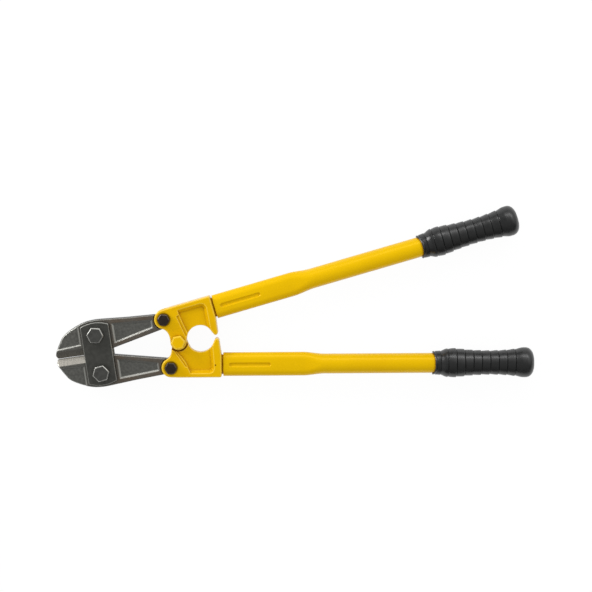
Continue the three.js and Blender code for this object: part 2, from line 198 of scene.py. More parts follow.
def tube_ring(along, inset, dent):
    """The tube's section at a place along it, taken in by an inset."""
    roundness = blend(FLAT_END, ROUND_START, along)
    half = between(FLAT_THICK / 2, TUBE_RADIUS, roundness) - inset
    spread = between((FLAT_WIDTH - FLAT_THICK) / 2, 0, roundness)
    beyond = max(GROOVE_START - along, 0, along - GROOVE_END)
    ring = []
    dome = 0 if inset else DOME * (1 - roundness)
    for i in range(TUBE_POINTS):
        y, z = racetrack(i / TUBE_POINTS, half, spread)
        z *= 1 - dome * (y / (half + spread)) ** 2
        depth = dent * (1 - blend(*GROOVE_HALF, math.hypot(beyond, y)))
        ring.append((along, y, z - math.copysign(depth, z)))
    return ring


# Close rings along the groove, then fewer where the tube turns round, and few on the plain rest.
stops = [TUBE_START + 0.9 * i for i in range(1, 72)]
stops += [between(120, 200, i / 40) for i in range(41)]
stops += [between(200, TUBE_END, i / 12) for i in range(1, 12)]
outside = [tube_ring(TUBE_START + along, inset, 0) for along, inset in TUBE_EDGE]
outside += [tube_ring(along, 0, GROOVE_DEPTH) for along in stops]
inside = [tube_ring(along, TUBE_WALL, INNER_DENT) for along in reversed(stops[::3])]
ends = [tube_ring(TUBE_END, 0, 0), tube_ring(TUBE_END, TUBE_WALL, 0)]
mouth = [tube_ring(TUBE_START + 0.4, TUBE_WALL, 0), tube_ring(TUBE_START, TUBE_WALL - 0.3, 0)]
tubes = {}
for side, axes in handle_axes.items():
    tube = skin(f"{side}_squeezed_tube", outside + ends + inside + mouth, joined=True)
    tube.matrix_world = axes
    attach(tube, f"{side}_handle")
    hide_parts(f"{side}_tube")
    tubes[side] = tube
print("tube:", len(tube.data.polygons), "faces")

# %% [markdown]
# ## Grips
# The grips are moulded rubber sleeves, pushed on wet. Round them run ten rings that rise towards
# the end and drop back in a short step, so that a pulling hand can't slip off. A lathe profile
# gives that, with the steps rounded as rubber comes out of a mould. Three things make it rubber
# and not turned wood: the two mould seams along its sides, a mouth that is cut back over the flat
# faces and slightly out of round where it was stretched over the tube, and a domed end. A narrow
# crease at the foot of each step holds a dark line of shade.

# %% The grip
GRIP_BORE_RADIUS = TUBE_RADIUS + 0.15
GRIP_BORE_DEPTH = 117
GRIP_LENGTH = 127.5
GRIP_STARTS = {"upper": 321, "lower": 317}  # along each tube's axis
RING_START = 10
RING_PITCH = 10.5
RING_DEPTH = 0.8
RING_COUNT = 10
LAST_SHARE = 0.87  # of its pitch that the last ring takes
RING_CREST = 0.84  # share of the pitch at which a ring is highest, and then starts to drop
RING_FOOT = 0.93  # and at which it has dropped
CREASE_PLACE = 0.945
CREASE_HALF = 0.06
CREASE_DEPTH = 0.4
MOUTH_HOLLOW = 3.4  # how far the mouth is cut back over the flat faces
MOUTH_LENGTH = 14  # the mouth's shape fades out over this
SEAM_HEIGHT = 0.16
SEAM_WIDTH = 1.3  # degrees, to either side
LIP_WAVE = 0.5  # how uneven the stretched lip is, and the body next to it
BODY_WAVE = 0.4
# Place from the mouth and radius: the rolled lip, the body without its rings, and the domed end.
GRIP_LIP = [(0.5, 13.0), (0.05, 13.6), (0.2, 14.3), (1.0, 14.75), (2.0, 14.6), (3.1, 14.15)]
GRIP_BODY = [(0, 14.6), (10, 15.3), (17, 17.6), (25, 18.4), (35, 17.7), (44, 16.6), (56, 15.8)]
GRIP_BODY += [(68, 15.3), (80, 15.4), (92, 16), (104, 17.2), (112, 18.6), (118, 18.75)]
GRIP_END = [(118, 18.75), (120.5, 18.1), (122.7, 16.8), (124.6, 14.8), (126.1, 12.2)]
GRIP_END += [(127.0, 9.2), (127.4, 6), (GRIP_LENGTH, 3)]


def smooth_curve(points, value):
    """Height of a smooth curve through [place, height] points."""
    last = len(points) - 1
    i = next((k for k in range(1, last) if points[k][0] >= value), last) - 1
    (x0, y0), (x1, y1) = points[i], points[i + 1]
    before, after = points[max(i - 1, 0)], points[min(i + 2, last)]
    slope0 = (y1 - before[1]) / (x1 - before[0])
    slope1 = (after[1] - y0) / (after[0] - x0)
    t, width = (value - x0) / (x1 - x0), x1 - x0
    ease = t * t * (3 - 2 * t)
    tangents = t * (1 - t) * ((1 - t) * slope0 - t * slope1) * width
    return between(y0, y1, ease) + tangents


def ring_step(along):
    """How far the moulded rings cut into the body. The last one ends as its step begins."""
    count = (along - RING_START) / RING_PITCH
    if not 0 <= count < RING_COUNT - 1 + LAST_SHARE:
        return 0
    share = count % 1
    rise = 1 - blend(-0.25, RING_CREST, share)
    drop = blend(RING_CREST, RING_FOOT, share)
    crease = max(1 - abs(share - CREASE_PLACE) / CREASE_HALF, 0)
    return RING_DEPTH * max(rise, drop) + CREASE_DEPTH * crease


def grip_ring(along, radius, uneven=0.0, seed=0.0):
    """A ring of the grip, with the two mould seams and, at the mouth, a hollow, wavy edge."""
    ring, hollow = [], MOUTH_HOLLOW * (1 - blend(0, MOUTH_LENGTH, along))
    for degrees in grip_turns:
        turn = math.radians(degrees)
        from_seam = abs((degrees + 90) % 180 - 90)
        seam = SEAM_HEIGHT * max(1 - from_seam / SEAM_WIDTH, 0)
        wave = uneven * noise.noise((math.cos(turn) * 1.4, math.sin(turn) * 1.4, seed))
        r = radius + seam + wave
        place = along + 1.4 * wave + hollow * (1 - math.cos(turn) ** 4)
        ring.append((place, r * math.cos(turn), r * math.sin(turn)))
    return ring


seam_edges = {SEAM_WIDTH, 360 - SEAM_WIDTH, 180 - SEAM_WIDTH, 180 + SEAM_WIDTH}
grip_turns = sorted({4 * i for i in range(90)} | seam_edges)
grips = {}
for seed, (side, start) in enumerate(GRIP_STARTS.items()):
    rings = [grip_ring(along, radius, LIP_WAVE, seed) for along, radius in GRIP_LIP]
    for i in range(228):
        along = 4 + 0.5 * i
        uneven = BODY_WAVE * (1 - blend(4, MOUTH_LENGTH, along))
        radius = smooth_curve(GRIP_BODY, along) - ring_step(along)
        rings.append(grip_ring(along, radius, uneven, seed))
    rings += [grip_ring(along, radius) for along, radius in GRIP_END]
    bore = [grip_ring(along, GRIP_BORE_RADIUS) for along in (1.5, 60, GRIP_BORE_DEPTH)]
    bore.append(grip_ring(GRIP_BORE_DEPTH, 1))
    grip = skin(f"{side}_rubber_grip", bore[::-1] + rings)
    grip.matrix_world = handle_axes[side] @ Matrix.Translation((start * MM, 0, 0))
    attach(grip, f"{side}_handle")
    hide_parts(f"{side}_grip")
    grips[side] = grip
print("grip:", len(grip.data.polygons), "faces")

# %% [markdown]
# ## Bolts and nuts
# Three sizes of hexagon bolt hold the tool together: M12 through the jaws and link plates, and
# M10 through the handles. Forged heads have a cone turned on their corners, which catches the
# light as a bright rim, and the ends below show a turn or two of real thread. All of that is one
# skin: the ring at each height is a circle, a hexagon, or on the thread a circle whose radius
# depends on the angle, which makes the screw line. The sizes across flats are the CAD's, and each
# piece stands where its CAD node's box says.

# %% Hexagons, threads, and the five bolts with their nuts
FASTENER_POINTS = 96
CONE = math.tan(math.radians(30))  # the cone turned on a hexagon's corners
# Inset and depth of each ring round the rim of a hexagon's face.
ROLLED_RIM = [(1.6, 0), (1.3, 0.05), (0.75, 0.25), (0.3, 0.6), (0.08, 1), (0, 1.6)]
WORN_CORNER = 1.145  # reach of a hexagon's corner, in half widths; a sharp one has 1.155
BOLT_END = [(2.1, 0), (1.9, 0), (1.6, 0.05)]  # inset and height of the rings on a bolt's end
TAPER = 0.9  # how far the thread's end draws in, over the next length
TAPER_LENGTH = 1.3
THREAD_DEPTH = 0.55  # of the pitch
THREAD_LENGTH = 9
RINGS_A_TURN = 9
NUT_TURN = 17  # degrees from the head's hexagon to the nut's
fastener_turns = [2 * math.pi * i / FASTENER_POINTS for i in range(FASTENER_POINTS)]


def circle(radius, z):
    return [(radius * math.cos(t), radius * math.sin(t), z) for t in fastener_turns]


def hexagon_reach(flats, turn):
    """Distance from the axis to a hexagon's side, its corners slightly blunted."""
    from_flat = turn % (math.pi / 3) - math.pi / 6
    return min(flats / 2 / math.cos(from_flat), flats / 2 * WORN_CORNER)


def hexagon(flats, inset, z, cone=0):
    """A hexagon ring. With a cone of +1 or -1, its corners fall back from the face."""
    ring = []
    for turn in fastener_turns:
        reach = hexagon_reach(flats, turn) - inset
        drop = cone * max(reach - flats / 2, 0) * CONE
        ring.append((reach * math.cos(turn), reach * math.sin(turn), z - drop))
    return ring


def thread_ring(radius, pitch, z, fade):
    """One height of a screw thread, cut to its full depth where fade is 1."""
    ring = []
    for turn in fastener_turns:
        share = (z / pitch - turn / (2 * math.pi)) % 1
        depth = THREAD_DEPTH * pitch * fade * min(abs(share - 0.5) * 2.6, 1)
        ring.append(((radius - depth) * math.cos(turn), (radius - depth) * math.sin(turn), z))
    return ring


def bolt(name, radius, flats, head, pitch, low, high):
    """A bolt from the end of its thread, at low, to the top of its head."""
    seat = high - head
    rings = [circle(radius - inset, low + rise) for inset, rise in BOLT_END]
    steps = int(THREAD_LENGTH / pitch * RINGS_A_TURN)
    for i in range(steps + 1):
        z = low + 0.3 + THREAD_LENGTH * i / steps
        fade = blend(0, 0.9, THREAD_LENGTH - (z - low))
        taper = TAPER * (1 - blend(0, TAPER_LENGTH, z - low))
        rings.append(thread_ring(radius - taper, pitch, z, fade))
    face = flats * 0.475  # the round washer face under the head
    rings += [circle(radius, low + THREAD_LENGTH + 1), circle(radius, seat)]
    rings += [circle(face - 0.2, seat), circle(face, seat + 0.1), circle(face, seat + 0.4)]
    rings += [hexagon(flats, 0.1, seat + 0.45)]
    rings += [hexagon(flats, 0, seat + 0.6), hexagon(flats, 0, seat + 1.2)]
    rings += [hexagon(flats, inset, high - depth, 1) for inset, depth in reversed(ROLLED_RIM)]
    rings += [hexagon(flats, 2.6, high), circle(flats * 0.2, high)]
    return skin(name, rings)


def nut(name, radius, flats, low, high):
    """A nut, coned on both faces, with a countersunk bore."""
    mouth = [(radius + 0.12, 0.9), (radius + 0.82, 0.1), (radius + 1, 0)]
    rings = [circle(reach, low + depth) for reach, depth in mouth]
    rings += [hexagon(flats, inset, low + depth, -1) for inset, depth in ROLLED_RIM]
    rings += [hexagon(flats, inset, high - depth, 1) for inset, depth in reversed(ROLLED_RIM)]
    rings += [circle(reach, high - depth) for reach, depth in reversed(mouth)]
    return skin(name, rings, joined=True)


def stand_for(piece, node, body, turn):
    """Puts a fastener on the axis of its CAD node, and makes it ride on the node's body."""
    place = Matrix.Translation((middle(node).x, middle(node).y, 0))
    piece.matrix_world = place @ Matrix.Rotation(math.radians(turn), 4, "Z")
    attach(piece, body)
    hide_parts(node)


# Name: shank radius, width across flats, head, thread pitch, body, slot, turn of the hexagon.
BOLTS = {
    "upper_jaw": (6, 19, 7.5, 1.75, "link_plates", "bolt_steel", -11),
    "lower_jaw": (6, 19, 7.5, 1.75, "link_plates", "bolt_steel", 7),
    "upper_tail": (5, 14, 6, 1.5, "upper_handle", "black_fasteners", -12),
    "lower_tail": (5, 14, 6, 1.5, "lower_handle", "black_fasteners", -8),
    "centre": (5, 16, 6.5, 1.5, "upper_handle", "head_enamel", 2),
}
bolts, nuts = {}, {}
for name, (radius, flats, head, pitch, body, slot, turn) in BOLTS.items():
    low, high = (corner.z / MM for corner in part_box(f"{name}_bolt"))
    bolts[name] = bolt(f"{name}_hexagon_bolt", radius, flats, head, pitch, low, high)
    stand_for(bolts[name], f"{name}_bolt", body, turn)
    low, high = (corner.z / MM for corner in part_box(f"{name}_nut"))
    nuts[name] = nut(f"{name}_hexagon_nut", radius, flats, low, high)
    stand_for(nuts[name], f"{name}_nut", body, turn + NUT_TURN)
print("fasteners:", ", ".join(bolts))

# %% [markdown]
# ## Washers
# Under each jaw nut and tail nut lies a spring washer: a turn of square wire, split, whose two ends
# stay slightly out of line even when it is tight. It is skinned the other way round, with the
# wire's section as the ring and the turn as the path. The centre bolt has a plain washer.

# %% Spring washers and the plain one
SPLIT = 8  # degrees that the split takes
WASHER_STEPS = 72
WASHER_PLAY = 0.25  # round the bolt
WASHER_REACH = 1.72  # outer radius of a spring washer, in shank radii
SPLIT_LIFT = 0.1  # how far each end of the wire stands off
SPLIT_TURN = 100  # degrees from the head's hexagon to the split
FLAT_WASHER_RADIUS = 10


def wire_section(inner, outer, low, high, turn, lift):
    """A square section with rounded corners, at one angle of the washer."""
    soft = 0.25
    corners = [(inner, low + soft), (inner + soft, low), (outer - soft, low), (outer, low + soft)]
    corners += [(outer, high - soft), (outer - soft, high), (inner + soft, high)]
    corners += [(inner, high - soft)]
    return [(r * math.cos(turn), r * math.sin(turn), z + lift) for r, z in corners]


def split_washer(name, radius, low, high):
    """A spring washer whose two ends stand 0.2 mm out of line."""
    inner, outer = radius + WASHER_PLAY, radius * WASHER_REACH
    base, top = low + SPLIT_LIFT, high - SPLIT_LIFT
    rings = []
    for i in range(WASHER_STEPS + 1):
        share = i / WASHER_STEPS
        turn = math.radians(SPLIT / 2 + (360 - SPLIT) * share)
        lift = SPLIT_LIFT * (2 * share - 1) ** 5
        rings.append(wire_section(inner, outer, base, top, turn, lift))
    return skin(name, rings)


washers = {}
for name, (radius, *_, body, slot, turn) in BOLTS.items():
    if name == "centre":
        node = "centre_washer"
        low, high = (corner.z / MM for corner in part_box(node))
        inner, outer = radius + WASHER_PLAY, FLAT_WASHER_RADIUS
        edges = [(inner, 0.2), (inner + 0.2, 0), (outer - 0.3, 0), (outer, 0.25)]
        rings = [circle(r, low + dz) for r, dz in edges]
        rings += [circle(r, high - dz) for r, dz in reversed(edges)]
        washers[name] = skin("centre_flat_washer", rings, joined=True)
    else:
        node = f"{name}_spring_washer"
        low, high = (corner.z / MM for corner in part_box(node))
        washers[name] = split_washer(f"{name}_split_washer", radius, low, high)
    stand_for(washers[name], node, body, turn + SPLIT_TURN)
print("washers:", ", ".join(washers))

# %% [markdown]
# ## Castings, forgings and plates
# The handle heads, jaws and link plates have the right shape in CAD, but every edge there is sharp.
# Nothing cast or forged is: sand and dies leave fillets and rolled edges, and enamel fills them
# further. A bevel modifier fails on faces that booleans have cut up. A voxel remesh doesn't care
# about faces: it samples the solid on a fine grid, and a few smoothing steps then roll the edges.
# The castings take a coarser grid and more steps. The jaws and plates take a finer grid and fewer
# steps, so that the ground edges stay keen. Smoothing also shrinks a thin edge, so the jaws are let
# out again by a displacement.

# %% Rolled edges
# Pieces: grid in mm, smoothing steps, and how far the surface is let out in mm.
ROLLED = {
    ("upper_handle_head", "lower_handle_head"): (0.5, 7, 0),
    ("upper_jaw", "lower_jaw"): (0.4, 2, 0.18),
    ("front_link_plate", "back_link_plate"): (0.4, 3, 0),
}


def roll_edges(node, voxel, steps, let_out):
    """Remeshes a CAD node on a grid of voxels, in mm, smooths it and lets it out."""
    piece = nodes[node]
    grid = piece.modifiers.new("grid", "REMESH")
    grid.mode = "VOXEL"
    grid.voxel_size = voxel * MM
    grid.use_smooth_shade = True
    rolled = piece.modifiers.new("rolled edges", "SMOOTH")
    rolled.factor = 0.5
    rolled.iterations = steps
    if let_out:
        outwards = piece.modifiers.new("let out", "DISPLACE")
        outwards.mid_level = 0
        outwards.strength = let_out * MM


for pieces, how in ROLLED.items():
    for node in pieces:
        roll_edges(node, *how)
    print("rolled the edges of", " and ".join(pieces))

# %% [markdown]
# ## Material tools
# Colours are written as sRGB hex values, as a paint chart gives them, and turned to the linear
# values that a renderer works with. One small function adds a node, sets it up and links it, so a
# finish reads as a list of what it is made of. Patterns are placed in each object's own
# coordinates, which are in metres and move with it, so a size in millimetres gives their scale.

# %% Colours, nodes and patterns
def linear(code):
    """An sRGB hex colour as linear RGBA."""
    parts = [int(code[i : i + 2], 16) / 255 for i in (1, 3, 5)]
    return [p / 12.92 if p <= 0.04045 else ((p + 0.055) / 1.055) ** 2.4 for p in parts] + [1]


def add(tree, kind, inputs=(), **settings):
    """Adds a node. An input is set to a value, or linked to a socket or a node's first output."""
    made = tree.nodes.new(kind)
    for key, value in settings.items():
        setattr(made, key, value)
    for socket, value in dict(inputs).items():
        if isinstance(value, bpy.types.Node):
            value = next(output for output in value.outputs if output.enabled)
        if isinstance(value, bpy.types.NodeSocket):
            tree.links.new(value, made.inputs[socket])
        else:
            made.inputs[socket].default_value = value
    return made


def per_metre(size_mm):
    """The texture scale at which a pattern repeats about every size_mm."""
    return 1 / (size_mm * MM)


def new_finish(name):
    """A new material: itself, its node tree, its shader and the object's own coordinates."""
    material = bpy.data.materials.new(name)
    material.use_nodes = True
    tree = material.node_tree
    place = add(tree, "ShaderNodeTexCoord").outputs["Object"]
    return material, tree, tree.nodes["Principled BSDF"], place


def join(tree, shader, colour, roughness, bumps):
    """Links what a finish is made of to its shader."""
    tree.links.new(colour.outputs[2], shader.inputs["Base Color"])
    tree.links.new(roughness.outputs[0], shader.inputs["Roughness"])
    tree.links.new(bumps.outputs[0], shader.inputs["Normal"])


# A Map Range node takes the old range as its inputs 1 and 2, and the new range as 3 and 4.
FIRST, SECOND = 6, 7  # the colour inputs of a Mix node, whose colour comes out as output 2
ENAMEL_TINT = linear("#ffd860")  # of what shows in the enamel's gloss
print("yellow enamel in linear light:", [round(v, 3) for v in linear("#e0b000")[:3]])

# %% [markdown]
# ## Enamel on cast iron
# The handle heads are sand-cast iron, sprayed with golden-yellow enamel and stoved. The sand
# underneath gives the gloss a slow ripple and a finer orange peel. The enamel runs off edges, where
# it is thin and pale, and pools in corners, where it is deeper and browner. The pale edges are also
# a painted highlight, and the brown corners a painted shade. Pointiness tells the two apart on the
# finely remeshed castings: it is above a half on an edge and below it in a corner. Ambient
# occlusion finds the narrow gaps, which are painted dark brown as grime and as the shade that falls
# in them, and a dark ring is painted round each tail bolt as its shade. One bump could hold both
# textures, but two in a row let each keep its real depth.
# One small chip on the lower casting is placed by its distance from a point.

# %% Yellow enamel on the castings
cast_enamel, tree, shader, place = new_finish("yellow_enamel_on_cast_iron")
edge = add(tree, "ShaderNodeNewGeometry").outputs["Pointiness"]
# Pooled enamel and painted shade: the corners are painted darker brown.
pooled_and_shaded = add(tree, "ShaderNodeMapRange", {"Value": edge, 1: 0.498, 2: 0.48, 3: 0, 4: 0.55})
clouds = add(tree, "ShaderNodeTexNoise", {"Vector": place, "Scale": per_metre(28), "Detail": 3})
uneven = add(tree, "ShaderNodeMapRange", {"Value": clouds, 1: 0.35, 2: 0.7, 3: 0, 4: 1})
coat = {0: uneven, FIRST: linear("#e0b000"), SECOND: linear("#d6a400")}
coat = add(tree, "ShaderNodeMix", coat, data_type="RGBA")
# Thin enamel and painted highlight: the edges are painted pale yellow.
thinned_and_highlit = add(tree, "ShaderNodeMapRange", {"Value": edge, 1: 0.503, 2: 0.52, 3: 0, 4: 0.45})
edged = {0: thinned_and_highlit, FIRST: coat, SECOND: linear("#f0d158")}
edged = add(tree, "ShaderNodeMix", edged, data_type="RGBA")
pools_and_shade = {0: pooled_and_shaded, FIRST: edged, SECOND: linear("#b57c00")}
pools_and_shade = add(tree, "ShaderNodeMix", pools_and_shade, data_type="RGBA")
print(cast_enamel.name)

# %% Grime with painted shade, a painted shade round the bolts, and the chip on the castings
CHIP = Vector((46, 0, -9.5))  # place of the chip in the lower handle's axes
# Grime and painted shade: narrow gaps are painted dark brown, found by ambient occlusion.
gaps = add(tree, "ShaderNodeAmbientOcclusion", {"Distance": 5 * MM}, samples=8)
grime_and_shade = {"Value": gaps.outputs["AO"], 1: 0.25, 2: 0.75, 3: 0.8, 4: 0}
grime_and_shade = add(tree, "ShaderNodeMapRange", grime_and_shade)
grimy_and_shaded = {0: grime_and_shade, FIRST: pools_and_shade, SECOND: linear("#9a5600")}
grimy_and_shaded = add(tree, "ShaderNodeMix", grimy_and_shaded, data_type="RGBA")
flat_place = {0: place, 1: (1, 1, 0)}
flat_place = add(tree, "ShaderNodeVectorMath", flat_place, operation="MULTIPLY")
to_bolts = []
for side in handle_axes:
    axis = middle(f"{side}_tail_bolt") * Vector((1, 1, 0))
    axis = {0: flat_place, 1: axis}
    axis = add(tree, "ShaderNodeVectorMath", axis, operation="DISTANCE").outputs["Value"]
    to_bolts.append(axis)
to_bolt = {0: to_bolts[0], 1: to_bolts[1]}
to_bolt = add(tree, "ShaderNodeMath", to_bolt, operation="MINIMUM")
# Painted shade: a dark ring round each tail bolt, by distance from its axis.
painted_bolt_shade = {"Value": to_bolt, 1: 8 * MM, 2: 9.3 * MM, 3: 0.75, 4: 0}
painted_bolt_shade = add(tree, "ShaderNodeMapRange", painted_bolt_shade)
with_bolt_shade = {0: painted_bolt_shade, FIRST: grimy_and_shaded, SECOND: linear("#5a4400")}
with_bolt_shade = add(tree, "ShaderNodeMix", with_bolt_shade, data_type="RGBA")
to_chip = {0: place, 1: handle_axes["lower"] @ (CHIP * MM)}
to_chip = add(tree, "ShaderNodeVectorMath", to_chip, operation="DISTANCE").outputs["Value"]
chip = {"Value": to_chip, 1: 1.1 * MM, 2: 1.7 * MM, 3: 1, 4: 0}
chip = add(tree, "ShaderNodeMapRange", chip)
chipped = {0: chip, FIRST: with_bolt_shade, SECOND: linear("#5a3000")}
chipped = add(tree, "ShaderNodeMix", chipped, data_type="RGBA")
print("grease round", len(to_bolts), "tail bolts, and a chip at", list(CHIP), "mm")

# %% Ripple and orange peel on the castings
RIPPLE = 7
PEEL = 1.6
peel = add(tree, "ShaderNodeTexNoise", {"Vector": place, "Scale": per_metre(PEEL), "Detail": 2})
ripple = {"Vector": place, "Scale": per_metre(RIPPLE), "Detail": 2}
ripple = add(tree, "ShaderNodeTexNoise", ripple)
gloss = add(tree, "ShaderNodeMapRange", {"Value": ripple, 1: 0.3, 2: 0.7, 3: 0.2, 4: 0.3})
sand = add(tree, "ShaderNodeBump", {"Height": ripple, "Distance": 0.18 * MM})
fine = add(tree, "ShaderNodeBump", {"Height": peel, "Distance": 0.03 * MM, "Normal": sand})
join(tree, shader, chipped, gloss, fine)
shader.inputs["Specular Tint"].default_value = ENAMEL_TINT
print("a ripple every", RIPPLE, "mm and peel every", PEEL, "mm")

# %% [markdown]
# ## Enamel on drawn tube
# The tubes have the same enamel on smooth drawn steel, so it looks lighter and cleaner, and a lamp
# shows in it as a soft band along the tube. All that is left of the steel is a faint waviness,
# drawn out lengthways. The same noise as on the castings does it, squeezed along X by a Mapping
# node. The groove is too soft a dent for Pointiness, so ambient occlusion finds where the enamel
# pools in it, painted darker as pooled enamel and as shade. At its darkest, it finds the joints
# with the castings and grips, painted dark brown as grime and as the shade that falls in them.

# %% Yellow enamel on the tubes
tube_enamel, tree, shader, place = new_finish("yellow_enamel_on_drawn_tube")
drawn = add(tree, "ShaderNodeMapping", {"Vector": place, "Scale": (0.08, 1, 1)})
waves = add(tree, "ShaderNodeTexNoise", {"Vector": drawn, "Scale": per_metre(9), "Detail": 2})
peel = add(tree, "ShaderNodeTexNoise", {"Vector": place, "Scale": per_metre(2.2), "Detail": 2})
clouds = add(tree, "ShaderNodeTexNoise", {"Vector": place, "Scale": per_metre(45), "Detail": 2})
coat = {0: clouds, FIRST: linear("#e5b900"), SECOND: linear("#ddae00")}
coat = add(tree, "ShaderNodeMix", coat, data_type="RGBA")
# Pooled enamel, grime and painted shade: the groove and the joints are painted darker.
gaps = add(tree, "ShaderNodeAmbientOcclusion", {"Distance": 3 * MM}, samples=8)
pooled_and_shaded = {"Value": gaps.outputs["AO"], 1: 0.6, 2: 0.95, 3: 0.9, 4: 0}
pooled_and_shaded = add(tree, "ShaderNodeMapRange", pooled_and_shaded)
pools_and_shade = {0: pooled_and_shaded, FIRST: coat, SECOND: linear("#b88400")}
pools_and_shade = add(tree, "ShaderNodeMix", pools_and_shade, data_type="RGBA")
grime_and_shade = {"Value": gaps.outputs["AO"], 1: 0.2, 2: 0.6, 3: 0.8, 4: 0}
grime_and_shade = add(tree, "ShaderNodeMapRange", grime_and_shade)
grimy_and_shaded = {0: grime_and_shade, FIRST: pools_and_shade, SECOND: linear("#8a4c00")}
grimy_and_shaded = add(tree, "ShaderNodeMix", grimy_and_shaded, data_type="RGBA")
gloss = add(tree, "ShaderNodeMapRange", {"Value": peel, 1: 0.3, 2: 0.7, 3: 0.22, 4: 0.3})
wavy = add(tree, "ShaderNodeBump", {"Height": waves, "Distance": 0.1 * MM})
peeled = add(tree, "ShaderNodeBump", {"Height": peel, "Distance": 0.012 * MM, "Normal": wavy})
join(tree, shader, grimy_and_shaded, gloss, peeled)
shader.inputs["Specular Tint"].default_value = ENAMEL_TINT
print(tube_enamel.name)

# %% [markdown]
# ## Forged steel with quench scale
# The jaws are drop-forged and quenched in oil, which leaves a dark grey scale with a dull metallic
# shine. It is browner on the raised rims of the tails, which hands and dirt reach. The upright
# sides are painted near black as a painted shade, and beside the link plates the steel is painted
# darker, as grime and as the shade that falls there. The slopes between panel and rim are painted
# lighter, as rubbing and as a painted highlight. They are found by the normal, in the jaw's own
# space: its Z is 1 on level faces, a bit less on slopes and rolled edges, and 0 on sides. That
# gives a cleaner line than Pointiness, which changes with the mesh. Then the cutting bevels are
# ground bright, with fine lines across the edge.
# The bevel could be a material of its own on its own faces, but the remesh has no such faces, so
# the finish finds it by place: a strip beside the cutting line, ahead of the pivot. The rims are
# found by their height above the middle plane, behind the link plates.

# %% Where the jaws are ground, raised and sloping
def levelness(tree):
    """1 where the surface is level in the piece's own space, 0 where it is upright."""
    normal = add(tree, "ShaderNodeTexCoord").outputs["Normal"]
    height = add(tree, "ShaderNodeSeparateXYZ", {0: normal}).outputs["Z"]
    return add(tree, "ShaderNodeMath", {0: height}, operation="ABSOLUTE")


BEVEL_WIDTH = 9.1  # of the ground strip on each jaw
RIM_HEIGHT = 6.1  # anything higher above the middle plane is rim
OXIDE_METALLIC = 0.9  # steel under a thin oxide is a little less than a bare metal
pivot_x = middle("front_link_plate").x
forged_steel, tree, shader, place = new_finish("quench_scale_on_forged_steel")
xyz = add(tree, "ShaderNodeSeparateXYZ", {0: place})
across = add(tree, "ShaderNodeMath", {0: xyz.outputs["Y"]}, operation="ABSOLUTE")
strip = add(tree, "ShaderNodeMath", {0: across, 1: BEVEL_WIDTH * MM}, operation="LESS_THAN")
ahead = {0: xyz.outputs["X"], 1: pivot_x}
ahead = add(tree, "ShaderNodeMath", ahead, operation="LESS_THAN")
ground = add(tree, "ShaderNodeMath", {0: strip, 1: ahead}, operation="MULTIPLY")
above = {0: xyz.outputs["Z"], 1: middle_z}
above = add(tree, "ShaderNodeMath", above, operation="SUBTRACT")
above = add(tree, "ShaderNodeMath", {0: above}, operation="ABSOLUTE")
rim = {0: above, 1: RIM_HEIGHT * MM}
rim = add(tree, "ShaderNodeMath", rim, operation="GREATER_THAN")
level = levelness(tree)
sloping = add(tree, "ShaderNodeMapRange", {"Value": level, 1: 0.97, 2: 0.86, 3: 0, 4: 0.8})
print(forged_steel.name)

# %% Scale, bloom, a painted highlight on the slopes and grime with painted shade on the jaws
scale = add(tree, "ShaderNodeTexNoise", {"Vector": place, "Scale": per_metre(3), "Detail": 5})
patchy = add(tree, "ShaderNodeMapRange", {"Value": scale, 1: 0.3, 2: 0.7, 3: 0, 4: 1})
dark = {0: patchy, FIRST: linear("#666662"), SECOND: linear("#787873")}
dark = add(tree, "ShaderNodeMix", dark, data_type="RGBA")
patches = add(tree, "ShaderNodeTexNoise", {"Vector": place, "Scale": per_metre(16), "Detail": 3})
bloom = add(tree, "ShaderNodeMapRange", {"Value": patches, 1: 0.3, 2: 0.7, 3: 0.3, 4: 0.9})
behind = {"Value": xyz.outputs["X"], 1: pivot_x, 2: pivot_x + 24 * MM, 3: 0.15, 4: 1}
behind = add(tree, "ShaderNodeMapRange", behind)
bloom = add(tree, "ShaderNodeMath", {0: bloom, 1: behind}, operation="MULTIPLY")
bloom = add(tree, "ShaderNodeMath", {0: bloom, 1: rim}, operation="MULTIPLY")
brown = {0: bloom, FIRST: dark, SECOND: linear("#74675a")}
brown = add(tree, "ShaderNodeMix", brown, data_type="RGBA")
# Rubbing and painted highlight: the slopes are painted light grey.
worn_and_highlit = {0: sloping, FIRST: brown, SECOND: linear("#a9a9a3")}
worn_and_highlit = add(tree, "ShaderNodeMix", worn_and_highlit, data_type="RGBA")
# Grime and painted shade: darker beside the link plates, found by ambient occlusion.
gaps = add(tree, "ShaderNodeAmbientOcclusion", {"Distance": 3 * MM}, samples=8)
grime_and_shade = {"Value": gaps.outputs["AO"], 1: 0.35, 2: 0.85, 3: 0.8, 4: 0}
grime_and_shade = add(tree, "ShaderNodeMapRange", grime_and_shade)
grimy_and_shaded = {0: grime_and_shade, FIRST: worn_and_highlit, SECOND: linear("#23211d")}
grimy_and_shaded = add(tree, "ShaderNodeMix", grimy_and_shaded, data_type="RGBA")
print("bloom on what stands more than", RIM_HEIGHT, "mm above the middle plane")

# %% Ground bevels, painted shade on the sides and the texture of the jaws
lines = add(tree, "ShaderNodeMapping", {"Vector": place, "Scale": (1, 0.06, 0.06)})
lines = add(tree, "ShaderNodeTexNoise", {"Vector": lines, "Scale": per_metre(0.7), "Detail": 3})
shine = add(tree, "ShaderNodeMapRange", {"Value": lines, 1: 0.3, 2: 0.7, 3: 0, 4: 1})
bright = {0: shine, FIRST: linear("#908d86"), SECOND: linear("#a5a198")}
bright = add(tree, "ShaderNodeMix", bright, data_type="RGBA")
top = add(tree, "ShaderNodeMix", {0: ground, FIRST: grimy_and_shaded, SECOND: bright}, data_type="RGBA")
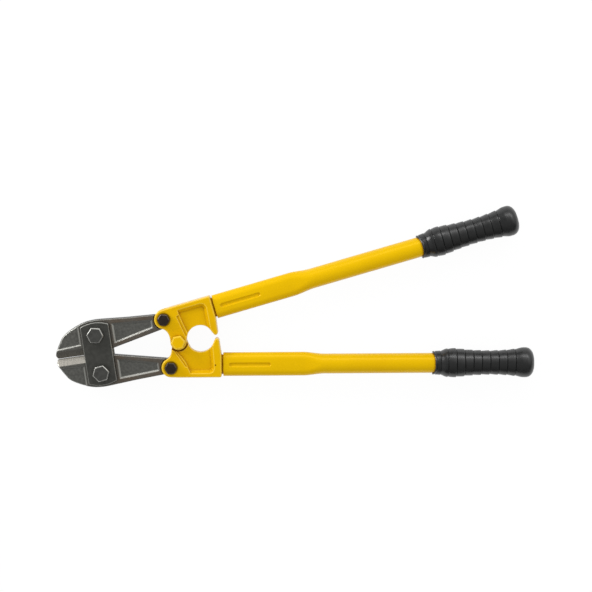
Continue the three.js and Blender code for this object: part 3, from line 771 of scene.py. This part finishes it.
# Painted shade: the upright sides are painted near black.
upright = add(tree, "ShaderNodeMapRange", {"Value": level, 1: 0.5, 2: 0.8, 3: 0.95, 4: 0})
colour = {0: upright, FIRST: top, SECOND: linear("#2b2a27")}
colour = add(tree, "ShaderNodeMix", colour, data_type="RGBA")
dull = add(tree, "ShaderNodeMapRange", {"Value": scale, 1: 0.3, 2: 0.7, 3: 0.38, 4: 0.5})
rough = add(tree, "ShaderNodeMix", {0: ground, 2: dull, 3: 0.3})
grit = add(tree, "ShaderNodeTexNoise", {"Vector": place, "Scale": per_metre(0.9), "Detail": 3})
height = add(tree, "ShaderNodeMix", {0: ground, 2: grit, 3: lines})
slow = add(tree, "ShaderNodeBump", {"Height": scale, "Distance": 0.06 * MM})
fine = add(tree, "ShaderNodeBump", {"Height": height, "Distance": 0.03 * MM, "Normal": slow})
join(tree, shader, colour, rough, fine)
shader.inputs["Metallic"].default_value = OXIDE_METALLIC
print("bevels ground", BEVEL_WIDTH, "mm wide")

# %% [markdown]
# ## Dark steel plates and bolts
# The link plates and jaw bolts are plain steel with a dark oxide, smoother than the forgings. Along
# the chamfers and rolled edges round their tops they are painted lighter, as rubbing and as a
# painted highlight. As on the jaws, the Z of the normal finds those: neither level nor upright. The
# near-black, slightly oily oxide of the tail bolts is a third finish of the same kind. They differ
# only in colours, gloss, and wear with painted highlight, so one loop makes all three.

# %% Oxide finishes
# Name: flat colour, worn and highlit colour, roughness, and strength of wear and painted highlight.
OXIDES = {
    "dark_oxide_on_steel_plate": ("#565652", "#a3a39d", 0.42, 0.6),
    "dark_oxide_on_forged_bolts": ("#5f5f5c", "#bebeb8", 0.34, 0.75),
    "oiled_black_oxide": ("#403833", "#6a605a", 0.32, 0.35),
}
oxides = {}
for name, (flat_colour, worn_highlight_colour, roughness, wear_and_highlight) in OXIDES.items():
    oxides[name], tree, shader, place = new_finish(name)
    level = levelness(tree)
    # Wear and painted highlight: rounded edges are painted lighter, sides left out.
    tilted = add(tree, "ShaderNodeMapRange", {"Value": level, 1: 0.995, 2: 0.96, 3: 0, 4: wear_and_highlight})
    not_side = add(tree, "ShaderNodeMapRange", {"Value": level, 1: 0.15, 2: 0.5, 3: 0, 4: 1})
    worn_and_highlit = add(tree, "ShaderNodeMath", {0: tilted, 1: not_side}, operation="MULTIPLY")
    mottle = add(tree, "ShaderNodeTexNoise", {"Vector": place, "Scale": per_metre(5), "Detail": 5})
    shade = add(tree, "ShaderNodeMapRange", {"Value": mottle, 1: 0.3, 2: 0.7, 3: 0.88, 4: 1.12})
    base = {0: 1, FIRST: linear(flat_colour), SECOND: shade}
    base = add(tree, "ShaderNodeMix", base, data_type="RGBA", blend_type="MULTIPLY")
    colour = {0: worn_and_highlit, FIRST: base, SECOND: linear(worn_highlight_colour)}
    colour = add(tree, "ShaderNodeMix", colour, data_type="RGBA")
    spread = {"Value": mottle, 1: 0.3, 2: 0.7, 3: roughness - 0.05, 4: roughness + 0.08}
    gloss = add(tree, "ShaderNodeMapRange", spread)
    grit = add(tree, "ShaderNodeTexNoise", {"Vector": place, "Scale": per_metre(0.8), "Detail": 3})
    fine = add(tree, "ShaderNodeBump", {"Height": grit, "Distance": 0.02 * MM})
    join(tree, shader, colour, gloss, fine)
    shader.inputs["Metallic"].default_value = OXIDE_METALLIC
    print(name)

# %% [markdown]
# ## Rubber
# The grips are black nitrile rubber, moulded and then handled: satin, never quite black, a little
# greyer on the crests of the rings, as polish from hands and as a painted highlight, and smoother
# in some patches than in others. Its fine grain comes from the sand-blasted mould.

# %% Moulded rubber
rubber, tree, shader, place = new_finish("moulded_nitrile_rubber")
edge = add(tree, "ShaderNodeNewGeometry").outputs["Pointiness"]
# Polish and painted highlight: the crests of the rings are painted greyer.
polished_and_highlit = add(tree, "ShaderNodeMapRange", {"Value": edge, 1: 0.5, 2: 0.56, 3: 0, 4: 1})
rubber_with_crest_highlight = {0: polished_and_highlit, FIRST: linear("#121313"), SECOND: linear("#1a1b1b")}
rubber_with_crest_highlight = add(tree, "ShaderNodeMix", rubber_with_crest_highlight, data_type="RGBA")
smears = add(tree, "ShaderNodeTexNoise", {"Vector": place, "Scale": per_metre(11), "Detail": 4})
satin = add(tree, "ShaderNodeMapRange", {"Value": smears, 1: 0.3, 2: 0.7, 3: 0.24, 4: 0.4})
blasted = add(tree, "ShaderNodeTexNoise", {"Vector": place, "Scale": per_metre(0.7), "Detail": 2})
waves = add(tree, "ShaderNodeBump", {"Height": smears, "Distance": 0.2 * MM})
fine = add(tree, "ShaderNodeBump", {"Height": blasted, "Distance": 0.03 * MM, "Normal": waves})
join(tree, shader, rubber_with_crest_highlight, satin, fine)
shader.inputs["Specular IOR Level"].default_value = 0.6
print(rubber.name)

# %% [markdown]
# ## Finishes on the pieces
# Every piece takes one finish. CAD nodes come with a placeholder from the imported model, so their
# slots are cleared first.

# %% Assigning the finishes
def cover(piece, material):
    """Gives a piece one finish in place of what it had."""
    piece.data.materials.clear()
    piece.data.materials.append(material)


for side in handle_axes:
    cover(nodes[f"{side}_handle_head"], cast_enamel)
    cover(nodes[f"{side}_jaw"], forged_steel)
    cover(tubes[side], tube_enamel)
    cover(grips[side], rubber)
for plate in ("front_link_plate", "back_link_plate"):
    cover(nodes[plate], oxides["dark_oxide_on_steel_plate"])
SLOT_FINISH = {
    "bolt_steel": oxides["dark_oxide_on_forged_bolts"],
    "black_fasteners": oxides["oiled_black_oxide"],
    "head_enamel": cast_enamel,
}
for name, (*_, slot, _) in BOLTS.items():
    for piece in (bolts[name], nuts[name], washers[name]):
        cover(piece, SLOT_FINISH[slot])
print("finished", len(tubes) + len(grips) + 3 * len(BOLTS) + 6, "pieces")

# %% [markdown]
# ## Studio
# The tool lies on a plain white floor in soft light from all round, with one wide lamp beyond its
# upper handle and a narrow one by the jaws. The world is close to one even white for lighting
# surfaces, so that a colour looks as it is written. Steel would have no shape in that: it shows its
# form by what it mirrors. So glossy rays see a studio instead: a large pale card on the wide lamp's
# side, a smaller one to the left, a dim ceiling that is darkest low down, and nothing on the near
# side. Camera rays see plain white, and the floor gives its own light back to them and keeps a
# trace of the tool's soft shadow.

# %% World
LAMP_SIDE = (0.6, 0.8, 0)  # direction of the wide lamp's side of the room
world = bpy.data.worlds.new("soft white studio")
scene.world = world
world.use_nodes = True
tree = world.node_tree
tree.nodes.clear()
direction = add(tree, "ShaderNodeTexCoord").outputs["Generated"]
towards = {0: direction, 1: LAMP_SIDE}
towards = add(tree, "ShaderNodeVectorMath", towards, operation="DOT_PRODUCT").outputs["Value"]
xyz = add(tree, "ShaderNodeSeparateXYZ", {0: direction})
overhead = xyz.outputs["Z"]
lighting = {"Value": towards, 1: -1, 2: 1, 3: 0.93, 4: 1.11}
lighting = add(tree, "ShaderNodeMapRange", lighting)
above = add(tree, "ShaderNodeMapRange", {"Value": overhead, 1: 0.25, 2: 1, 3: 0.07, 4: 0.46})
beside = add(tree, "ShaderNodeMapRange", {"Value": towards, 1: 0.1, 2: 0.9, 3: 0, 4: 1.7})
left = {"Value": xyz.outputs["X"], 1: -0.5, 2: -1, 3: 0, 4: 0.7}
left = add(tree, "ShaderNodeMapRange", left)
cards = add(tree, "ShaderNodeMath", {0: beside, 1: left}, operation="ADD")
risen = add(tree, "ShaderNodeMapRange", {"Value": overhead, 1: 0.05, 2: 0.4, 3: 0.25, 4: 1})
mirrored = {0: cards, 1: risen, 2: above}
mirrored = add(tree, "ShaderNodeMath", mirrored, operation="MULTIPLY_ADD")
path = add(tree, "ShaderNodeLightPath")
strength = {0: path.outputs["Is Glossy Ray"], 2: lighting, 3: mirrored}
strength = add(tree, "ShaderNodeMix", strength)
sky = add(tree, "ShaderNodeBackground", {"Strength": strength})
white = add(tree, "ShaderNodeBackground", {"Color": (1, 1, 1, 1), "Strength": 1})
seen = {0: path.outputs["Is Camera Ray"], 1: path.outputs["Is Transmission Ray"]}
seen = add(tree, "ShaderNodeMath", seen, operation="MAXIMUM")
seen = {0: path.outputs["Is Glossy Ray"], 1: 0.05, 2: seen}
seen = add(tree, "ShaderNodeMath", seen, operation="MULTIPLY_ADD", use_clamp=True)
surface = add(tree, "ShaderNodeMixShader", {0: seen, 1: sky, 2: white})
add(tree, "ShaderNodeOutputWorld", {0: surface})
print(world.name)

# %% Floor
FLOOR_SIZE = 6  # metres from the middle to each side
FLOOR_GLOW = 1.06
GLOW_SHARE = 0.9  # the rest is plain paint, which takes the shadow
low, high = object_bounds()
centre_of_tool = (Vector(low) + Vector(high)) / 2
floor_mesh = bpy.data.meshes.new("studio_floor")
corners = [(-1, -1), (1, -1), (1, 1), (-1, 1)]
corners = [(x * FLOOR_SIZE, y * FLOOR_SIZE, low[2]) for x, y in corners]
floor_mesh.from_pydata(corners, [], [(0, 1, 2, 3)])
floor = bpy.data.objects.new("studio_floor", floor_mesh)
scene.collection.objects.link(floor)
floor_paint, tree, shader, _ = new_finish("white_studio_floor")
shader.inputs["Base Color"].default_value = linear("#c4c4c4")
shader.inputs["Roughness"].default_value = 0.9
glow = add(tree, "ShaderNodeEmission", {"Strength": FLOOR_GLOW})
path = add(tree, "ShaderNodeLightPath")
seen = {0: path.outputs["Is Camera Ray"], 1: path.outputs["Is Glossy Ray"]}
seen = add(tree, "ShaderNodeMath", seen, operation="MAXIMUM")
seen = {0: seen, 1: path.outputs["Is Transmission Ray"]}
seen = add(tree, "ShaderNodeMath", seen, operation="MAXIMUM")
share = add(tree, "ShaderNodeMath", {0: seen, 1: GLOW_SHARE}, operation="MULTIPLY")
mixed = add(tree, "ShaderNodeMixShader", {0: share, 1: shader, 2: glow})
tree.links.new(mixed.outputs[0], tree.nodes["Material Output"].inputs["Surface"])
cover(floor, floor_paint)
print("floor at", round(low[2] / MM, 2), "mm")

# %% Lamps
# Name: place in metres from the tool's middle, width and height in metres, power in watts.
LAMPS = {
    "wide_soft_lamp": ((0.5, 1, 0.75), 1.3, 0.28, 4.4),
    "strip_lamp_by_the_jaws": ((-0.78, 0.6, 0.28), 0.5, 0.24, 5),
}
for name, (place, width, height, power) in LAMPS.items():
    light = bpy.data.lights.new(name, "AREA")
    light.shape = "RECTANGLE"
    light.size, light.size_y = width, height
    light.energy = power
    lamp = bpy.data.objects.new(name, light)
    lamp.location = centre_of_tool + Vector(place)
    lamp.rotation_euler = Vector(place).to_track_quat("Z", "Y").to_euler()
    scene.collection.objects.link(lamp)
print("lamps:", ", ".join(LAMPS))

# %% [markdown]
# ## Camera
# A long lens looks almost straight down on the tool from 2.3 m, tilted a few degrees towards the
# upper handle, and is rolled so that the lower handle lies level in the frame. The three axes of
# the camera are worked out from those angles, which is easier to check than Euler angles.

# %% The camera
DISTANCE = 2280 * MM
TILT = math.radians(5.09)  # away from straight down
TILT_TOWARDS = math.radians(84.2)  # direction of the tilt in the tool's plane
ROLL = math.radians(8.36)
TARGET = Vector((153.35, 35.09, 0)) * MM  # from the centre bolt
VIEW_WIDTH = 739.3 * MM  # width of the view at the target

back = Vector((math.cos(TILT_TOWARDS), math.sin(TILT_TOWARDS), 0)) * math.sin(TILT)
back.z = math.cos(TILT)
right = Vector((0, 1, 0)).cross(back).normalized()
up = back.cross(right)
rolled_right = math.cos(ROLL) * right - math.sin(ROLL) * up
rolled_up = math.sin(ROLL) * right + math.cos(ROLL) * up
lens = bpy.data.cameras.new("long_lens")
lens.lens = lens.sensor_width * DISTANCE / VIEW_WIDTH
camera = bpy.data.objects.new("camera", lens)
eye = centre + TARGET + DISTANCE * back
rotation = Matrix((rolled_right, rolled_up, back)).transposed().to_4x4()
camera.matrix_world = Matrix.Translation(eye) @ rotation
scene.collection.objects.link(camera)
scene.camera = camera
scene.view_settings.view_transform = "Standard"
print("lens", round(lens.lens, 1), "mm")
